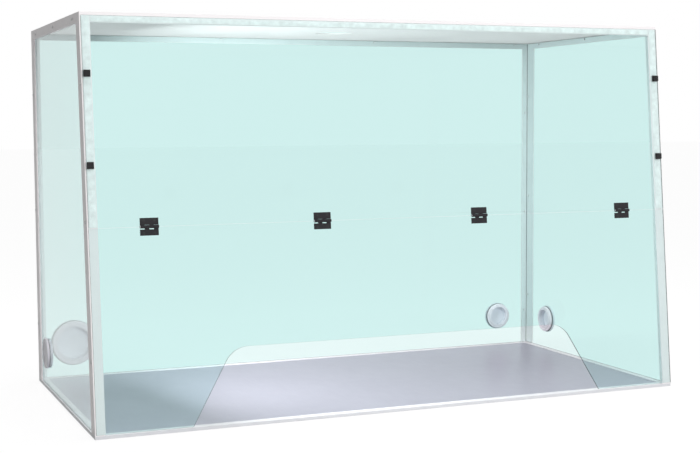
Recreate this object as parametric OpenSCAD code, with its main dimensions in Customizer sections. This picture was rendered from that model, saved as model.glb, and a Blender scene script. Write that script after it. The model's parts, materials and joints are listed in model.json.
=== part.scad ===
/* [Overall size] */
// Width over the frame
hood_w = 1220; // [1160:5:1300]
// Depth of the base
base_d = 605; // [590:1:640]
// Depth of the top
top_d = 534; // [510:1:570]
// Height over the frame
hood_h = 758; // [740:1:800]

/* [Frame] */
// Leg length of the frame angles
angle_leg = 19; // [18:0.5:22]
// Leg length of the posts along the sides
side_leg = 32; // [24:1:38]
// Thickness of the frame angles
angle_t = 3; // [2:0.5:4]

/* [Base] */
// Thickness of the plate under the hood
plate_t = 3; // [2:0.5:4]
// Thickness of the flat bars around the floor
bar_t = 3; // [2.5:0.5:4]
// Thickness of the floor liner between the bars
liner_t = 2; // [1:0.5:2.5]

/* [Panels] */
// Thickness of every panel
panel_t = 3; // [2.5:0.5:4]
// Air left between a panel and what it lies against
panel_play = 0.2; // [0.1:0.05:0.3]
// Bare frame beside the front panels
front_inset = 2; // [1:0.5:4]
// Bare frame above the upper front panel
top_inset = 6.5; // [4:0.5:9]
// Thickness of the tape that holds the upper front panel
tape_t = 0.8; // [0.5:0.1:1.2]
// Height of the seam between the front panels
seam_z = 373; // [360:1:390]
// Gap between the front panels
seam_gap = 0.8; // [0.5:0.1:2]
// Height of the sash's lower edge
sash_foot = 8; // [7:0.5:12]
// Diameter of the exhaust hole in the top
exhaust_d = 80; // [60:1:110]
// Distance of the exhaust hole behind the middle of the top
exhaust_back = 42; // [0:1:80]

/* [Arm opening] */
// Width along the top edge, between the sharp corners
opening_w = 700; // [560:10:760]
// Height of the top edge
opening_z = 147; // [120:1:180]
// Lean of the sides from upright
opening_flare = 30; // [20:1:40]
// Radius of the upper corners
opening_r = 50; // [20:1:60]

/* [Hinges] */
// Distance between hinges
hinge_pitch = 334; // [300:1:350]
// Distance of the row's middle to the right of the hood's middle
hinge_shift = 2; // [0:0.5:5]
// Width of a hinge
hinge_w = 34; // [32:1:40]
// Reach of a leaf from the pin
leaf_reach = 16; // [15:0.5:18]
// Thickness of a leaf
leaf_t = 2; // [1.5:0.1:2.2]
// Radius of the knuckles
knuckle_r = 3; // [2.8:0.1:3.1]
// Radius of the pin
pin_r = 1.5; // [1.2:0.1:1.6]
// Distance from the panels' outer face to the pin
pin_offset = 3.2; // [3.1:0.1:3.4]

/* [Bumpers] */
// Side of a bumper's square base
bumper_side = 12.7; // [11:0.1:14]
// Height of a bumper
bumper_h = 5.8; // [5:0.1:6]
// Height of the lower pair
bumper_low_z = 484.5; // [470:0.5:500]
// Height of the upper pair
bumper_high_z = 648; // [630:1:670]

/* [Small ports] */
// Diameter of the outer flange
port_flange_d = 64; // [60:1:68]
// Diameter of the neck
port_neck_d = 50; // [48:1:52]
// Diameter of the bore
port_bore_d = 44; // [40:1:45]
// Distance of the side ports from the back
side_port_back = 100; // [90:1:120]
// Distance of the small back port from the right
back_port_side = 88; // [80:1:110]
// Height of the small ports
port_z = 76; // [70:1:90]

/* [Large port] */
// Diameter of the outer flange
duct_flange_d = 100; // [96:1:104]
// Diameter of the neck
duct_neck_d = 79; // [76:1:82]
// Diameter of the bore
duct_bore_d = 72; // [68:1:74]
// Distance from the left
duct_side = 79; // [75:1:100]
// Height of its centre
duct_z = 79; // [75:1:100]

/* [Hidden] */

$fn = 48;
cut = 1; // how far a cutting tool runs past the face it cuts
half_w = hood_w / 2;
back_y = base_d / 2;
bar_top = plate_t + bar_t;
top_under = hood_h - angle_t - panel_play - panel_t; // underside of the top panel
wall_top = top_under - panel_play; // the top panel lies on the walls' upper edges
lean = atan((base_d - top_d) / hood_h);
seam_v = seam_z / cos(lean);
panel_out = tape_t + panel_play + panel_t; // from the posts' front face to the front panels' outer face
running_fit = 0.05;
knuckle_gap = 0.3;
// The leaves are cut back this far from the pin beside the other leaf's knuckles
upper_notch = knuckle_r + 0.3;
lower_notch = knuckle_r + 1.8;
knuckles = 4;
hinge_count = 4;

// fasteners
screw_head_r = 3.3;
screw_head_h = 1.8;
screw_r = 1.75;
panel_hole_r = 2; // the frame screws' clearance holes in the panels
screw_tip = 1.5; // shank showing inside the panel
machine_r = 1.5;
machine_head_r = 2.9;
nut_flats = 5.5;
nut_h = 2.4;
leaf_hole_x = 10;
leaf_hole_v = leaf_reach - 4.5;

// ports, measured along their axis from the panel's outer face, outwards
gasket_t = 1;
flange_t = 2;
cap_gap = 0.2;
cap_t = 2.5;
cap_skirt = 5;
cap_wall = 2;
ring_t = 5;
neck_proud = 1.2;

// Heights of the screws in the posts, and places of the screws in the rails
front_post_screw_z = [136, 383, 628];
back_post_screw_z = [127, 375, 622];
side_rail_screw_y = [-167, 39, 245];
back_rail_screw_x = [-567, -189, 189, 567];
screw_line = angle_leg / 2;

function front_y(z) = -back_y + z * tan(lean);
function depth_y(depth, z) = front_y(z) + depth / cos(lean);
// Outline of a layer behind the leaning front, cut level at both ends
function front_strip(near, far, low, high) = [
    [depth_y(near, low), low], [depth_y(far, low), low],
    [depth_y(far, high), high], [depth_y(near, high), high],
];
function hinge_x(i) = hinge_shift + (i - (hinge_count + 1) / 2) * hinge_pitch;

// ---------- placing ----------

// The front's own frame: x along the seam, y into the hood, z up the lean
module on_front() {
    translate([0, -back_y, 0]) rotate([-lean, 0, 0]) children();
}

// A hinge's own frame: x along the pin, with the panels' outer face at y = pin_offset
module at_hinge(i) {
    on_front() translate([hinge_x(i), -panel_out - pin_offset, seam_v]) children();
}

module right_side() {
    mirror([1, 0, 0]) children();
}

// A slab in the YZ plane, from x towards the right
module yz_slab(x, thickness, outline) {
    translate([x, 0, 0]) rotate([90, 0, 90]) linear_extrude(thickness) polygon(outline);
}

// Port frames: z runs out of the hood from the panel's outer face
module at_left_port() {
    translate([-half_w + angle_t + panel_play, back_y - side_port_back, port_z])
        rotate([0, -90, 0]) children();
}

module at_right_port() {
    right_side() at_left_port() children();
}

module at_back_port() {
    translate([half_w - back_port_side, back_y - angle_t - panel_play, port_z])
        rotate([-90, 0, 0]) children();
}

module at_duct_port() {
    translate([-half_w + duct_side, back_y - angle_t - panel_play, duct_z])
        rotate([-90, 0, 0]) children();
}

// ---------- fasteners ----------

// Pan head tapping screw: the head sits on z = 0 and the shank runs down
module frame_screw() {
    difference() {
        union() {
            rotate_extrude() intersection() {
                translate([0, screw_head_h - screw_head_r * 1.6]) circle(r = screw_head_r * 1.6);
                square([screw_head_r, screw_head_h]);
            }
            translate([0, 0, -angle_t - panel_t - screw_tip])
                cylinder(r = screw_r, h = angle_t + panel_t + screw_tip + screw_head_h / 2);
        }
        for (turn = [0, 90])
            rotate([0, 0, turn])
                translate([-screw_head_r * 0.55, -0.35, screw_head_h - 0.9])
                    cube([screw_head_r * 1.1, 0.7, cut + 0.9]);
    }
}

// A screw's hole through the frame and the panel behind it, of radius r
module screw_hole(r = screw_r) {
    translate([0, 0, -angle_t - panel_t - 2 * cut]) cylinder(r = r, h = angle_t + panel_t + 3 * cut);
}

// Every screw place on the left side, with z outwards from the frame's face
module left_screw_places() {
    for (z = front_post_screw_z)
        translate([-half_w, depth_y(screw_line, z), z]) rotate([0, -90, 0]) children();
    for (z = back_post_screw_z)
        translate([-half_w, back_y - screw_line, z]) rotate([0, -90, 0]) children();
    for (y = side_rail_screw_y)
        translate([-half_w, y, hood_h - screw_line]) rotate([0, -90, 0]) children();
}

module back_screw_places() {
    for (side = [-1, 1], z = back_post_screw_z)
        translate([side * (half_w - screw_line - angle_t / 2), back_y, z - 40]) rotate([-90, 0, 0]) children();
    for (x = back_rail_screw_x)
        translate([x, back_y, hood_h - screw_line]) rotate([-90, 0, 0]) children();
}

// Countersunk screw of a leaf, in the hinge's frame with z towards the leaf's outer face
module machine_screw() {
    countersink = machine_head_r - machine_r;
    length = leaf_t + panel_t + nut_h + 0.8;
    difference() {
        union() {
            translate([0, 0, -countersink]) cylinder(r1 = machine_r, r2 = machine_head_r, h = countersink);
            translate([0, 0, -length]) cylinder(r = machine_r, h = length - countersink / 2);
        }
        for (turn = [0, 90])
            rotate([0, 0, turn]) translate([-1.5, -0.3, -0.7]) cube([3, 0.6, cut + 0.7]);
    }
}

module leaf_hole() {
    countersink = machine_head_r - machine_r;
    translate([0, 0, -countersink])
        cylinder(r1 = machine_r, r2 = machine_head_r, h = countersink);
    translate([0, 0, -leaf_t - cut]) cylinder(r = machine_r, h = leaf_t + 2 * cut);
    translate([0, 0, -0.001]) cylinder(r = machine_head_r, h = cut);
}

// The screw places of one leaf, up is 1 for the upper leaf and -1 for the lower, z out of the hood
module leaf_screw_places(up) {
    for (side = [-1, 1])
        translate([side * leaf_hole_x, pin_offset - leaf_t, up * leaf_hole_v]) rotate([90, 0, 0]) children();
}

// ---------- base ----------

module base_plate() {
    color("whitesmoke") translate([-half_w, -back_y, 0]) cube([hood_w, base_d, plate_t]);
}

module cross_bar(y) {
    color("whitesmoke") translate([-half_w, y, plate_t]) cube([hood_w, angle_leg, bar_t]);
}

module side_bar() {
    color("whitesmoke")
        translate([-half_w, -back_y + angle_leg, plate_t]) cube([angle_leg, base_d - 2 * angle_leg, bar_t]);
}

module floor_liner() {
    color("lightsteelblue")
        translate([-half_w + angle_leg, -back_y + angle_leg, plate_t])
            cube([hood_w - 2 * angle_leg, base_d - 2 * angle_leg, liner_t]);
}

// ---------- frame ----------

module front_left_post() {
    color("whitesmoke") difference() {
        union() {
            yz_slab(-half_w, angle_leg, front_strip(0, angle_t, bar_top, hood_h));
            yz_slab(-half_w, angle_t, front_strip(0, side_leg, bar_top, hood_h));
        }
        left_screw_places() screw_hole();
    }
}

module back_left_post() {
    color("whitesmoke") difference() {
        translate([-half_w, back_y, bar_top]) mirror([0, 1, 0]) linear_extrude(hood_h - bar_top) union() {
            square([angle_leg, angle_t]);
            square([angle_t, side_leg]);
        }
        left_screw_places() screw_hole();
        back_screw_places() screw_hole();
    }
}

module front_top_rail() {
    low = hood_h - angle_leg;
    shelf = hood_h - angle_t;
    color("whitesmoke") yz_slab(-half_w + angle_leg, hood_w - 2 * angle_leg, [
        [front_y(low), low], [depth_y(angle_t, low), low], [depth_y(angle_t, shelf), shelf],
        [front_y(hood_h) + angle_leg, shelf], [front_y(hood_h) + angle_leg, hood_h],
        [front_y(hood_h), hood_h],
    ]);
}

module back_top_rail() {
    color("whitesmoke") difference() {
        yz_slab(-half_w + angle_leg, hood_w - 2 * angle_leg, [
            [back_y, hood_h - angle_leg], [back_y, hood_h], [back_y - angle_leg, hood_h],
            [back_y - angle_leg, hood_h - angle_t], [back_y - angle_t, hood_h - angle_t],
            [back_y - angle_t, hood_h - angle_leg],
        ]);
        back_screw_places() screw_hole();
    }
}

// The upright leg stops at the posts' legs, and the level leg runs on into the corners
module left_top_rail() {
    low = hood_h - angle_leg;
    shelf = hood_h - angle_t;
    leg_end = back_y - side_leg;
    inner_end = back_y - angle_t;
    color("whitesmoke") difference() {
        union() {
            yz_slab(-half_w, angle_t, [
                [depth_y(side_leg, low), low], [leg_end, low],
                [leg_end, hood_h], [depth_y(side_leg, hood_h), hood_h],
            ]);
            yz_slab(-half_w, angle_leg, [
                [depth_y(side_leg, shelf), shelf], [leg_end, shelf],
                [leg_end, hood_h], [depth_y(side_leg, hood_h), hood_h],
            ]);
            yz_slab(-half_w + angle_t, angle_leg - angle_t, [
                [depth_y(angle_t, shelf), shelf], [inner_end, shelf],
                [inner_end, hood_h], [depth_y(angle_t, hood_h), hood_h],
            ]);
        }
        left_screw_places() screw_hole();
    }
}

// ---------- panels ----------

module clear_tint() {
    color([0.72, 0.92, 0.9, 0.45]) children();
}

module left_panel() {
    low = bar_top + panel_play;
    back = back_y - angle_t - panel_play;
    clear_tint() difference() {
        yz_slab(-half_w + angle_t + panel_play, panel_t, [
            [depth_y(angle_t + panel_play, low), low], [back, low],
            [back, wall_top], [depth_y(angle_t + panel_play, wall_top), wall_top],
        ]);
        at_left_port() port_hole(port_neck_d);
        left_screw_places() screw_hole(panel_hole_r);
    }
}

module back_panel() {
    width = hood_w - 2 * (angle_t + panel_t + 2 * panel_play);
    low = bar_top + panel_play;
    clear_tint() difference() {
        translate([-width / 2, back_y - angle_t - panel_play - panel_t, low])
            cube([width, panel_t, wall_top - low]);
        at_back_port() port_hole(port_neck_d);
        at_duct_port() port_hole(duct_neck_d);
        back_screw_places() screw_hole(panel_hole_r);
    }
}

// The top panel is a white sheet, held between the walls' upper edges and the rails' level legs
module top_panel() {
    width = hood_w - 2 * (angle_t + panel_play);
    high = top_under + panel_t;
    back = back_y - angle_t - panel_play;
    middle = (front_y(hood_h) + back_y) / 2;
    color("whitesmoke") difference() {
        yz_slab(-width / 2, width, [
            [depth_y(angle_t + panel_play, top_under), top_under], [back, top_under],
            [back, high], [depth_y(angle_t + panel_play, high), high],
        ]);
        translate([0, middle + exhaust_back, top_under - cut])
            cylinder(d = exhaust_d, h = panel_t + 2 * cut, $fn = 96);
    }
}

module front_sheet(low, high) {
    translate([-half_w + front_inset, -panel_out, low]) cube([hood_w - 2 * front_inset, panel_t, high - low]);
}

module leaf_bolt_holes(up) {
    for (i = [1:hinge_count])
        at_hinge(i) leaf_screw_places(up)
            translate([0, 0, -leaf_t - panel_t - cut]) cylinder(r = machine_r, h = panel_t + 2 * cut);
}

module upper_front_panel() {
    clear_tint() difference() {
        on_front() front_sheet(seam_v + seam_gap / 2, (hood_h - top_inset) / cos(lean));
        leaf_bolt_holes(1);
    }
}

// The arm opening's outline: flared sides, and upper corners rounded with true arcs
module opening_outline() {
    top = opening_z / cos(lean);
    corner = opening_r / tan((90 + opening_flare) / 2);
    foot = opening_w / 2 + top * tan(opening_flare);
    side_x = opening_w / 2 + corner * sin(opening_flare);
    side_v = top - corner * cos(opening_flare);
    polygon([
        [-foot, 0], [foot, 0], [side_x, side_v], [opening_w / 2 - corner, top],
        [corner - opening_w / 2, top], [-side_x, side_v],
    ]);
    for (side = [-1, 1])
        translate([side * (opening_w / 2 - corner), top - opening_r]) circle(r = opening_r, $fn = 96);
}

module lower_sash() {
    clear_tint() difference() {
        on_front() difference() {
            front_sheet(sash_foot / cos(lean), seam_v - seam_gap / 2);
            translate([0, cut, 0]) rotate([90, 0, 0]) linear_extrude(panel_out + 2 * cut) opening_outline();
        }
        leaf_bolt_holes(-1);
    }
}

// Foam tape between the upper front panel, the front posts and the front top rail
module upper_panel_tape() {
    edge = 2;
    band = angle_leg - front_inset - 2 * edge;
    low = seam_v + edge;
    high = (hood_h - top_inset) / cos(lean) - edge;
    rail_low = (hood_h - angle_leg) / cos(lean) + edge;
    color("white") on_front() {
        for (side = [-1, 1])
            translate([side * (half_w - front_inset - edge - band / 2) - band / 2, -tape_t, low])
                cube([band, tape_t, high - low]);
        translate([-half_w + angle_leg + edge, -tape_t, rail_low])
            cube([hood_w - 2 * (angle_leg + edge), tape_t, high - rail_low]);
    }
}

// ---------- hinges ----------

// One leaf with its knuckles: the upper leaf has the first and third from the left, the lower the others
module hinge_leaf(up, bore_r) {
    leaf_notch = up > 0 ? upper_notch : lower_notch;
    pitch = hinge_w / knuckles;
    length = pitch - knuckle_gap;
    color([0.14, 0.13, 0.15]) difference() {
        union() {
            translate([-hinge_w / 2, pin_offset - leaf_t, up > 0 ? leaf_notch : -leaf_reach])
                cube([hinge_w, leaf_t, leaf_reach - leaf_notch]);
            for (k = [up > 0 ? 0 : 1 : 2 : knuckles - 1]) {
                x = -hinge_w / 2 + k * pitch + knuckle_gap / 2;
                translate([x, 0, 0]) rotate([0, 90, 0]) cylinder(r = knuckle_r, h = length);
                translate([x, pin_offset - leaf_t, up > 0 ? 0 : -leaf_notch - cut])
                    cube([length, leaf_t, leaf_notch + cut]);
            }
        }
        translate([-hinge_w, 0, 0]) rotate([0, 90, 0]) cylinder(r = bore_r, h = 2 * hinge_w);
        leaf_screw_places(up) leaf_hole();
    }
}

module upper_leaf(i) {
    at_hinge(i) hinge_leaf(1, pin_r);
}

module lower_leaf(i) {
    at_hinge(i) hinge_leaf(-1, pin_r + running_fit);
}

// The pin, with a head at its left end
module hinge_pin(i) {
    color("silver") at_hinge(i) rotate([0, 90, 0]) {
        translate([0, 0, -hinge_w / 2]) cylinder(r = pin_r, h = hinge_w + 0.6);
        translate([0, 0, -hinge_w / 2 - 0.8]) cylinder(r = pin_r + 0.9, h = 0.8 + knuckle_gap / 2);
    }
}

module hinge_screws(up) {
    color([0.12, 0.12, 0.13])
        for (i = [1:hinge_count])
            at_hinge(i) leaf_screw_places(up) machine_screw();
}

module hinge_nuts(up) {
    color([0.12, 0.12, 0.13])
        for (i = [1:hinge_count])
            at_hinge(i) leaf_screw_places(up)
                translate([0, 0, -leaf_t - panel_t - nut_h])
                    difference() {
                        cylinder(d = nut_flats / cos(30), h = nut_h, $fn = 6);
                        translate([0, 0, -cut]) cylinder(r = machine_r, h = nut_h + 2 * cut);
                    }
}

// Square tapered bumpers that the folded sash comes to rest on
module fold_bumpers() {
    top_side = bumper_side - 2.4;
    color([0.1, 0.1, 0.11])
        for (side = [-1, 1], z = [bumper_low_z, bumper_high_z])
            on_front() translate([side * (half_w - screw_line), -panel_out, z / cos(lean)])
                rotate([90, 0, 0])
                    linear_extrude(bumper_h, scale = top_side / bumper_side)
                        square(bumper_side, center = true);
}

// ---------- ports ----------

module tube(outer_d, inner_d, low, high) {
    difference() {
        translate([0, 0, low]) cylinder(d = outer_d, h = high - low, $fn = 96);
        translate([0, 0, low - cut]) cylinder(d = inner_d, h = high - low + 2 * cut, $fn = 96);
    }
}

// The hole in a panel, with play all round the neck
module port_hole(neck_d) {
    translate([0, 0, -panel_t - cut]) cylinder(d = neck_d + 2 * panel_play, h = panel_t + 2 * cut, $fn = 96);
}

// Flanged bush: the flange lies outside on its gasket, and the neck runs through the panel
module port_bush(flange_d, neck_d, bore_d) {
    outer_face = gasket_t + flange_t;
    color("gainsboro") difference() {
        union() {
            translate([0, 0, gasket_t]) cylinder(d = flange_d, h = flange_t, $fn = 96);
            translate([0, 0, -panel_t - ring_t - neck_proud])
                cylinder(d = neck_d, h = panel_t + ring_t + neck_proud + outer_face, $fn = 96);
        }
        translate([0, 0, -panel_t - ring_t - neck_proud - cut])
            cylinder(d = bore_d, h = panel_t + ring_t + neck_proud + outer_face + 2 * cut, $fn = 96);
    }
}

module port_gasket(flange_d, neck_d) {
    color("dimgray") tube(flange_d - 3, neck_d, 0, gasket_t);
}

// Ring nut on the neck, inside the hood, with a chamfered rim
module port_ring(flange_d, neck_d) {
    rim = flange_d / 2 - 2;
    color("gainsboro") translate([0, 0, -panel_t - ring_t]) rotate_extrude($fn = 96)
        polygon([[neck_d / 2, 0], [rim - 1.5, 0], [rim, 1.5], [rim, ring_t], [neck_d / 2, ring_t]]);
}

// Push-in cap: a dished cover over the flange, with a skirt that fits the bore
module port_cap(flange_d, bore_d) {
    low = gasket_t + flange_t + cap_gap;
    high = low + cap_t;
    rim = flange_d / 2;
    skirt = bore_d / 2 - running_fit;
    color("white") rotate_extrude($fn = 96)
        polygon([
            [0, low], [skirt - cap_wall, low], [skirt - cap_wall, low - cap_skirt], [skirt - 0.6, low - cap_skirt],
            [skirt, low - cap_skirt + 0.6], [skirt, low], [rim, low], [rim, high - 1], [rim - 1, high],
            [rim - 8, high], [rim - 8.8, high - 0.8], [0, high - 0.8],
        ]);
}

// ---------- drawing ----------

module left_frame_screws() {
    color("white") left_screw_places() frame_screw();
}

module back_frame_screws() {
    color("white") back_screw_places() frame_screw();
}

base_plate();
cross_bar(-back_y);  // front_base_bar
cross_bar(back_y - angle_leg);  // back_base_bar
side_bar();  // left_base_bar
right_side() side_bar();  // right_base_bar
floor_liner();
front_left_post();
right_side() front_left_post();  // front_right_post
back_left_post();
right_side() back_left_post();  // back_right_post
front_top_rail();
back_top_rail();
left_top_rail();
right_side() left_top_rail();  // right_top_rail
back_panel();
left_panel();
right_side() left_panel();  // right_panel
top_panel();
upper_front_panel();
lower_sash();
upper_panel_tape();
for (i = [1:hinge_count]) {
    upper_leaf(i);
    lower_leaf(i);
    hinge_pin(i);
}
hinge_screws(1);  // upper_hinge_screws
hinge_screws(-1);  // lower_hinge_screws
hinge_nuts(1);  // upper_hinge_nuts
hinge_nuts(-1);  // lower_hinge_nuts
fold_bumpers();
left_frame_screws();
right_side() left_frame_screws();  // right_frame_screws
back_frame_screws();
at_left_port() port_bush(port_flange_d, port_neck_d, port_bore_d);  // left_port_bush
at_right_port() port_bush(port_flange_d, port_neck_d, port_bore_d);  // right_port_bush
at_back_port() port_bush(port_flange_d, port_neck_d, port_bore_d);  // back_port_bush
at_duct_port() port_bush(duct_flange_d, duct_neck_d, duct_bore_d);  // duct_port_bush
at_left_port() port_gasket(port_flange_d, port_neck_d);  // left_port_gasket
at_right_port() port_gasket(port_flange_d, port_neck_d);  // right_port_gasket
at_back_port() port_gasket(port_flange_d, port_neck_d);  // back_port_gasket
at_duct_port() port_gasket(duct_flange_d, duct_neck_d);  // duct_port_gasket
at_left_port() port_ring(port_flange_d, port_neck_d);  // left_port_ring
at_right_port() port_ring(port_flange_d, port_neck_d);  // right_port_ring
at_back_port() port_ring(port_flange_d, port_neck_d);  // back_port_ring
at_duct_port() port_ring(duct_flange_d, duct_neck_d);  // duct_port_ring
at_left_port() port_cap(port_flange_d, port_bore_d);  // left_port_cap
at_right_port() port_cap(port_flange_d, port_bore_d);  // right_port_cap
at_back_port() port_cap(port_flange_d, port_bore_d);  // back_port_cap
at_duct_port() port_cap(duct_flange_d, duct_bore_d);  // duct_port_cap
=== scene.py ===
"""Looks of the benchtop fume hood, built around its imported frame. Lengths are in metres."""

import json
import math

import bpy
from mathutils import Matrix, Vector

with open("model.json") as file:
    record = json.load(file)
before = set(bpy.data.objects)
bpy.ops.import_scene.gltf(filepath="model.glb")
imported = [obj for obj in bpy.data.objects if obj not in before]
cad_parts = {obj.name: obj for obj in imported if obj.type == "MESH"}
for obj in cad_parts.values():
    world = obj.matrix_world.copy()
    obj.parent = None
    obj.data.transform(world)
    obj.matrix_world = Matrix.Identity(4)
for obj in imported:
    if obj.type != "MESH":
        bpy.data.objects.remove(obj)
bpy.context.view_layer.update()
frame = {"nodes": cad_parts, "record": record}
nodes = frame["nodes"]
slot_of = {part["node"]: part["material_slot"] for part in frame["record"]["subparts"]}
scene = bpy.context.scene
MM = 0.001

# ---------- camera ----------

CAMERA_PLACE = Vector((-1.070, -2.623, 0.555))
CAMERA_YAW = math.radians(22.25)
CAMERA_PITCH = math.radians(-4.38)
CAMERA_ROLL = math.radians(-0.31)
LENS_MM = 68.5


def make_camera():
    """The camera stands at the front left, a little above the middle, and looks slightly down."""
    forward = Vector((
        math.sin(CAMERA_YAW) * math.cos(CAMERA_PITCH),
        math.cos(CAMERA_YAW) * math.cos(CAMERA_PITCH),
        math.sin(CAMERA_PITCH),
    ))
    level = Vector((math.cos(CAMERA_YAW), -math.sin(CAMERA_YAW), 0))
    upright = level.cross(forward)
    right = level * math.cos(CAMERA_ROLL) + upright * math.sin(CAMERA_ROLL)
    up = upright * math.cos(CAMERA_ROLL) - level * math.sin(CAMERA_ROLL)
    data = bpy.data.cameras.new("camera")
    data.lens = LENS_MM
    data.sensor_width = 36
    data.clip_end = 100
    camera = bpy.data.objects.new("camera", data)
    scene.collection.objects.link(camera)
    turn = Matrix((right, up, -forward)).transposed().to_4x4()
    camera.matrix_world = Matrix.Translation(CAMERA_PLACE) @ turn
    scene.camera = camera


make_camera()

# ---------- node helpers ----------


class Shader:
    """A node tree that is filled in one call per node."""

    def __init__(self, tree):
        self.tree = tree
        self.tree.nodes.clear()

    def add(self, kind, inputs=None, **settings):
        node = self.tree.nodes.new("ShaderNode" + kind)
        for name, value in settings.items():
            setattr(node, name, value)
        for name, value in (inputs or {}).items():
            socket = node.inputs[name]
            if isinstance(value, bpy.types.NodeSocket):
                self.tree.links.new(value, socket)
            else:
                socket.default_value = value
        return node

    def math(self, operation, *values, clamp=False):
        inputs = dict(enumerate(values))
        return self.add("Math", inputs, operation=operation, use_clamp=clamp).outputs[0]

    def object_point(self, stretch=(1, 1, 1)):
        """Object coordinates, scaled along each axis."""
        point = self.add("TexCoord").outputs["Object"]
        if stretch == (1, 1, 1):
            return point
        return self.add("Mapping", {"Vector": point, "Scale": stretch}).outputs[0]

    def noise(self, scale, detail=3.0, roughness=0.55, stretch=(1, 1, 1)):
        point = self.object_point(stretch)
        inputs = {"Vector": point, "Scale": scale, "Detail": detail, "Roughness": roughness}
        return self.add("TexNoise", inputs).outputs["Fac"]

    def spread(self, value, low, high):
        """Maps the middle of a noise, from 0.3 to 0.7, to the range from low to high."""
        inputs = {"Value": value, "From Min": 0.3, "From Max": 0.7, "To Min": low, "To Max": high}
        return self.add("MapRange", inputs).outputs[0]

    def blend(self, factor, first, second):
        node = self.add("Mix", data_type="RGBA")
        for socket, value in ((0, factor), (6, first), (7, second)):
            if isinstance(value, bpy.types.NodeSocket):
                self.tree.links.new(value, node.inputs[socket])
            else:
                node.inputs[socket].default_value = value
        return node.outputs[2]

    def bump(self, height, strength, distance):
        inputs = {"Height": height, "Strength": strength, "Distance": distance}
        return self.add("Bump", inputs).outputs[0]

    def surface(self, socket, kind="Material"):
        self.add("Output" + kind, {"Surface": socket})


def colour(red, green, blue):
    return (red, green, blue, 1.0)


def new_material(name):
    material = bpy.data.materials.new(name)
    material.use_nodes = True
    return material, Shader(material.node_tree)


def sees_backdrop(shader):
    """1 on rays straight from the viewer, panels passed through included, and 0 on all others."""
    path = shader.add("LightPath").outputs
    bounced = shader.math("ADD", path["Diffuse Depth"], path["Glossy Depth"], clamp=True)
    through = shader.math("MULTIPLY", path["Is Transmission Ray"], shader.math("SUBTRACT", 1.0, bounced))
    return shader.math("MAXIMUM", path["Is Camera Ray"], through)


def sees_reflection(shader):
    """1 on mirrored rays, panels passed through included, and 0 once something matt is on their way."""
    path = shader.add("LightPath").outputs
    mirrored = shader.math("MINIMUM", path["Glossy Depth"], 1.0)
    scattered = shader.math("MINIMUM", path["Diffuse Depth"], 1.0)
    clean = shader.math("SUBTRACT", 1.0, scattered)
    return shader.math("MULTIPLY", mirrored, clean)


# ---------- materials ----------


def painted(name, base, roughness):
    """Satin powder coat: orange peel, faint clouding and slightly duller, dustier patches."""
    material, s = new_material(name)
    cloud = s.noise(5.0, detail=3.0)
    peel = s.noise(700.0, detail=2.0)
    dust = s.noise(45.0, detail=5.0, roughness=0.55)
    dull = tuple(0.96 * c for c in base)
    dusty = tuple(0.94 * c for c in base)
    tone = s.blend(s.spread(cloud, 0.0, 1.0), colour(*base), colour(*dull))
    shade = s.blend(s.spread(dust, 0.0, 0.4), tone, colour(*dusty))
    bsdf = s.add("BsdfPrincipled", {
        "Base Color": shade,
        "Roughness": s.spread(dust, roughness - 0.04, roughness + 0.06),
        "Normal": s.bump(peel, 0.12, 0.15 * MM),
        "Coat Weight": 0.15,
        "Coat Roughness": 0.2,
    })
    s.surface(bsdf.outputs[0])
    return material


def clear_sheet(name, across):
    """Clear acrylic with a faint teal tint and rough sawn edges whose dark colour is painted shade, standing
    in for light lost inside the sheet. Light passes it freely to what is behind.

    across is the direction through the sheet.
    """
    material, s = new_material(name)
    ripple = s.noise(3.0, detail=1.0)
    smear = s.noise(9.0, detail=5.0, stretch=(1, 1, 0.4))
    facing = s.add("TexCoord").outputs["Normal"]
    along = s.add("VectorMath", {0: facing, 1: across}, operation="DOT_PRODUCT").outputs["Value"]
    facing_out = s.math("ABSOLUTE", along)
    flat = s.add("MapRange", {"Value": facing_out, "From Min": 0.8, "From Max": 0.95}).outputs[0]
    smooth = s.spread(smear, 0.0, 0.02)
    # Where the surface faces along the sheet, at its sawn edges, the dark base colour is painted shade. The
    # roughness and the loss of transmission there are the edge's own.
    glass = s.add("BsdfPrincipled", {
        "Base Color": s.blend(flat, SAWN_EDGE_PAINTED_SHADE, PANEL_TINT),
        "Transmission Weight": flat,
        "IOR": PANEL_IOR,
        "Roughness": s.add("Mix", {0: flat, 2: SAWN_EDGE_ROUGHNESS, 3: smooth}).outputs[0],
        "Normal": s.bump(ripple, 0.05, 0.4 * MM),
    })
    open_way = s.add("BsdfTransparent", {"Color": UNTINTED})
    path = s.add("LightPath").outputs
    lit_through = s.math("MAXIMUM", path["Is Shadow Ray"], path["Is Diffuse Ray"])
    mix = s.add("MixShader", {0: lit_through, 1: glass.outputs[0], 2: open_way.outputs[0]})
    s.surface(mix.outputs[0])
    return material


def opal_sheet(name, base):
    """White sheet that lets light through softly, with a fine satin texture."""
    material, s = new_material(name)
    fine = s.noise(350.0, detail=2.0)
    cloud = s.noise(4.0, detail=3.0)
    dull = tuple(0.95 * c for c in base)
    tone = s.blend(s.spread(cloud, 0.0, 1.0), colour(*base), colour(*dull))
    normal = s.bump(fine, 0.1, 0.1 * MM)
    satin = s.spread(fine, 0.5, 0.6)
    face = s.add("BsdfPrincipled", {"Base Color": tone, "Roughness": satin, "Normal": normal})
    glow = s.add("BsdfTranslucent", {"Color": tone, "Normal": normal})
    mix = s.add("MixShader", {0: 0.5, 1: face.outputs[0], 2: glow.outputs[0]})
    s.surface(mix.outputs[0])
    return material


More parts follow.
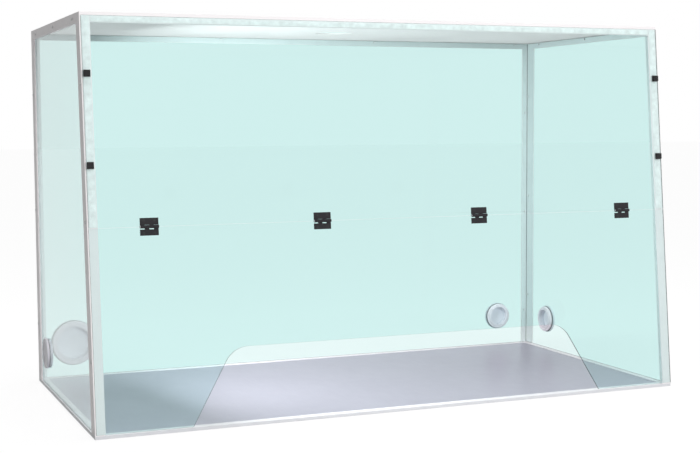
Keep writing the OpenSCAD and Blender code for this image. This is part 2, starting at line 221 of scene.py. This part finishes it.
def satin_floor(name):
    """Gray liner with a satin gloss, fine brushing from front to back and light wear."""
    material, s = new_material(name)
    grain = s.noise(260.0, detail=3.0, stretch=(1, 0.06, 1))
    cloud = s.noise(4.0, detail=3.0)
    wear = s.noise(30.0, detail=6.0, roughness=0.6)
    tone = s.blend(s.spread(cloud, 0.0, 1.0), colour(0.40, 0.39, 0.47), colour(0.37, 0.36, 0.44))
    shade = s.blend(s.spread(wear, 0.0, 0.12), tone, colour(0.44, 0.44, 0.50))
    rough = s.math("ADD", s.spread(wear, 0.30, 0.35), s.spread(grain, -0.01, 0.02))
    bsdf = s.add("BsdfPrincipled", {
        "Base Color": shade,
        "Metallic": 0.35,
        "Roughness": rough,
        "Normal": s.bump(grain, 0.08, 0.05 * MM),
    })
    s.surface(bsdf.outputs[0])
    return material


def moulded(name, base, roughness, grain_scale, grain, subsurface=0.0):
    """Moulded plastic with a fine grain and slight unevenness."""
    material, s = new_material(name)
    fine = s.noise(grain_scale, detail=2.0)
    cloud = s.noise(25.0, detail=4.0)
    dull = tuple(0.88 * c for c in base)
    bsdf = s.add("BsdfPrincipled", {
        "Base Color": s.blend(s.spread(cloud, 0.0, 1.0), colour(*base), colour(*dull)),
        "Roughness": s.spread(cloud, roughness - 0.05, roughness + 0.08),
        "Normal": s.bump(fine, grain, 0.1 * MM),
        "Subsurface Weight": subsurface,
        "Subsurface Radius": (0.004, 0.004, 0.004),
    })
    s.surface(bsdf.outputs[0])
    return material


def rubber(name, base):
    """Matt rubber or foam, with pores and a dusty bloom."""
    material, s = new_material(name)
    pores = s.noise(900.0, detail=4.0, roughness=0.7)
    bloom = s.noise(80.0, detail=4.0)
    dusty = tuple(min(1.0, 1.3 * c + 0.012) for c in base)
    bsdf = s.add("BsdfPrincipled", {
        "Base Color": s.blend(s.spread(bloom, 0.0, 1.0), colour(*base), colour(*dusty)),
        "Roughness": s.spread(pores, 0.7, 0.9),
        "Normal": s.bump(pores, 0.3, 0.12 * MM),
    })
    s.surface(bsdf.outputs[0])
    return material


def steel(name):
    """Drawn steel wire, with marks round the pin."""
    material, s = new_material(name)
    drawn = s.noise(500.0, detail=3.0, stretch=(0.05, 1, 1))
    bsdf = s.add("BsdfPrincipled", {
        "Base Color": s.blend(s.spread(drawn, 0.0, 1.0), colour(0.58, 0.58, 0.59), colour(0.47, 0.47, 0.49)),
        "Metallic": 1.0,
        "Roughness": s.spread(drawn, 0.30, 0.42),
        "Normal": s.bump(drawn, 0.1, 0.03 * MM),
    })
    s.surface(bsdf.outputs[0])
    return material


PANEL_TINT = colour(0.795, 0.933, 0.923)
PANEL_IOR = 1.2
# Dark colour of the sawn panel edges: painted shade for light lost inside the sheet, not the acrylic's own
# colour.
SAWN_EDGE_PAINTED_SHADE = colour(0.12, 0.15, 0.15)
SAWN_EDGE_ROUGHNESS = 0.35
UNTINTED = colour(0.99, 0.99, 0.99)
BASE_DEPTH, TOP_DEPTH, HEIGHT = 0.605, 0.534, 0.758
LEAN = math.atan((BASE_DEPTH - TOP_DEPTH) / HEIGHT)
ACROSS = {
    "left_panel": (1, 0, 0),
    "right_panel": (1, 0, 0),
    "back_panel": (0, 1, 0),
    "upper_front_panel": (0, math.cos(LEAN), -math.sin(LEAN)),
    "lower_sash": (0, math.cos(LEAN), -math.sin(LEAN)),
}
materials = {
    "frame_white": painted("frame_white", (0.88, 0.85, 0.86), 0.38),
    "base_white": painted("base_white", (0.73, 0.74, 0.77), 0.34),
    "screw_white": painted("screw_white", (0.88, 0.89, 0.90), 0.34),
    "floor_gray": satin_floor("floor_gray"),
    "top_opal": opal_sheet("top_opal", (0.81, 0.79, 0.79)),
    "tape_white": rubber("tape_white", (0.80, 0.80, 0.80)),
    "hinge_black": moulded("hinge_black", (0.005, 0.004, 0.007), 0.45, 900.0, 0.25),
    "screw_black": moulded("screw_black", (0.012, 0.012, 0.014), 0.35, 1200.0, 0.15),
    "bumper_black": rubber("bumper_black", (0.010, 0.009, 0.010)),
    "gasket_gray": rubber("gasket_gray", (0.17, 0.17, 0.18)),
    "pin_steel": steel("pin_steel"),
    "port_white": moulded("port_white", (0.82, 0.80, 0.85), 0.40, 500.0, 0.12, subsurface=0.15),
    "cap_white": moulded("cap_white", (0.82, 0.83, 0.89), 0.35, 500.0, 0.12, subsurface=0.15),
}
for name, node in nodes.items():
    node.data.materials.clear()
    if name in ACROSS:
        node.data.materials.append(clear_sheet(f"clear_{name}", ACROSS[name]))
    else:
        node.data.materials.append(materials[slot_of[name]])

# ---------- softened edges ----------


def soften(name, width, segments):
    """Rounds a node's sharp edges a little, inside its own shape. One segment makes a flat chamfer."""
    modifier = nodes[name].modifiers.new("soften", "BEVEL")
    modifier.width = width
    modifier.segments = segments
    modifier.limit_method = "ANGLE"
    modifier.angle_limit = SHARP_ANGLE


SHARP_ANGLE = math.radians(40)
CHAMFERED = "panel_clear"
EDGE_WIDTHS = {
    "frame_white": 0.5 * MM,
    "base_white": 0.5 * MM,
    "floor_gray": 0.3 * MM,
    CHAMFERED: 0.6 * MM,
    "bumper_black": 0.8 * MM,
    "hinge_black": 0.25 * MM,
    "port_white": 0.35 * MM,
    "cap_white": 0.35 * MM,
}
for name, slot in slot_of.items():
    if slot in EDGE_WIDTHS:
        soften(name, EDGE_WIDTHS[slot], 1 if slot == CHAMFERED else 2)

# ---------- floor, backdrop and light ----------

WHITE = colour(1, 1, 1)
MIRRORED_STUDIO = 0.8
FLOOR_GLOW = 0.93
FLOOR_SHADED = colour(0.07, 0.07, 0.07)
FLOOR_TABLE = colour(0.38, 0.38, 0.38)
FLOOR_REACH = 30.0
FLOOR_DROP = 0.2 * MM


def make_floor():
    """A plain pale floor, nearly as bright as the backdrop to the viewer. To the lamps it is a gray table."""
    material, s = new_material("pale_floor")
    dimmed = s.math("MULTIPLY", sees_reflection(s), MIRRORED_STUDIO)
    view = s.math("MAXIMUM", sees_backdrop(s), dimmed)
    glow = s.add("Emission", {"Color": WHITE, "Strength": FLOOR_GLOW})
    pale = s.add("BsdfDiffuse", {"Color": FLOOR_SHADED})
    seen = s.add("AddShader", {0: glow.outputs[0], 1: pale.outputs[0]})
    table = s.add("BsdfDiffuse", {"Color": FLOOR_TABLE})
    mix = s.add("MixShader", {0: view, 1: table.outputs[0], 2: seen.outputs[0]})
    s.surface(mix.outputs[0])
    material.cycles.emission_sampling = "NONE"
    mesh = bpy.data.meshes.new("pale_floor")
    corners = [(x * FLOOR_REACH, y * FLOOR_REACH, 0) for x, y in ((-1, -1), (1, -1), (1, 1), (-1, 1))]
    mesh.from_pydata(corners, [], [(0, 1, 2, 3)])
    floor = bpy.data.objects.new("pale_floor", mesh)
    scene.collection.objects.link(floor)
    floor.location.z = -FLOOR_DROP
    mesh.materials.append(material)


def make_world():
    """A white backdrop for the viewer and for reflections, and a soft light that is dimmer on the left."""
    world = bpy.data.worlds.new("studio")
    world.use_nodes = True
    scene.world = world
    s = Shader(world.node_tree)
    direction = s.add("TexCoord").outputs["Generated"]
    axes = s.add("SeparateXYZ", {0: direction}).outputs
    dimming = {"Value": axes[0], "From Min": -0.85, "From Max": 0.25, "To Min": 0.02, "To Max": 1.0}
    side = s.add("MapRange", dimming, interpolation_type="SMOOTHSTEP").outputs[0]
    cards = s.add("Mapping", {"Vector": direction, "Scale": (1, 1, 0.02)}).outputs[0]
    strips = s.add("TexNoise", {"Vector": cards, "Scale": 9.0, "Detail": 2.0}).outputs["Fac"]
    strip_light = s.spread(strips, 0.88, 1.04)
    mirrored = s.math("MULTIPLY", sees_reflection(s), MIRRORED_STUDIO)
    studio = s.math("MULTIPLY", s.math("MAXIMUM", side, mirrored), strip_light)
    soft = s.add("Background", {"Color": WHITE, "Strength": studio})
    white = s.add("Background", {"Color": WHITE, "Strength": 1.0})
    mix = s.add("MixShader", {0: sees_backdrop(s), 1: soft.outputs[0], 2: white.outputs[0]})
    s.surface(mix.outputs[0], kind="World")


def make_softbox(name, place, target, size, power):
    """A square lamp that is aimed at a point. Neither the view nor a mirror shows it."""
    data = bpy.data.lights.new(name, "AREA")
    data.shape = "SQUARE"
    data.size = size
    data.energy = power
    lamp = bpy.data.objects.new(name, data)
    scene.collection.objects.link(lamp)
    lamp.location = place
    aim = Vector(target) - Vector(place)
    lamp.rotation_euler = aim.to_track_quat("-Z", "Y").to_euler()
    lamp.visible_glossy = False
    lamp.visible_transmission = False
    lamp.visible_camera = False


# Each lamp's name, place, target, size and power in watts. The one inside makes up for the white top's shade.
SOFTBOXES = [
    ("key", (0.5, -3.4, 1.3), (0.1, 0, 0.35), 2.2, 56),
    ("inside", (-0.42, -0.05, 0.38), (0.6, 0.15, 0.38), 0.3, 6.5),
    ("top", (0.0, 0.0, 2.2), (0, 0, 0.3), 1.4, 34),
]
make_floor()
make_world()
for softbox in SOFTBOXES:
    make_softbox(*softbox)

scene.view_settings.view_transform = "Standard"
scene.cycles.max_bounces = 24
scene.cycles.transmission_bounces = 24
scene.cycles.transparent_max_bounces = 32
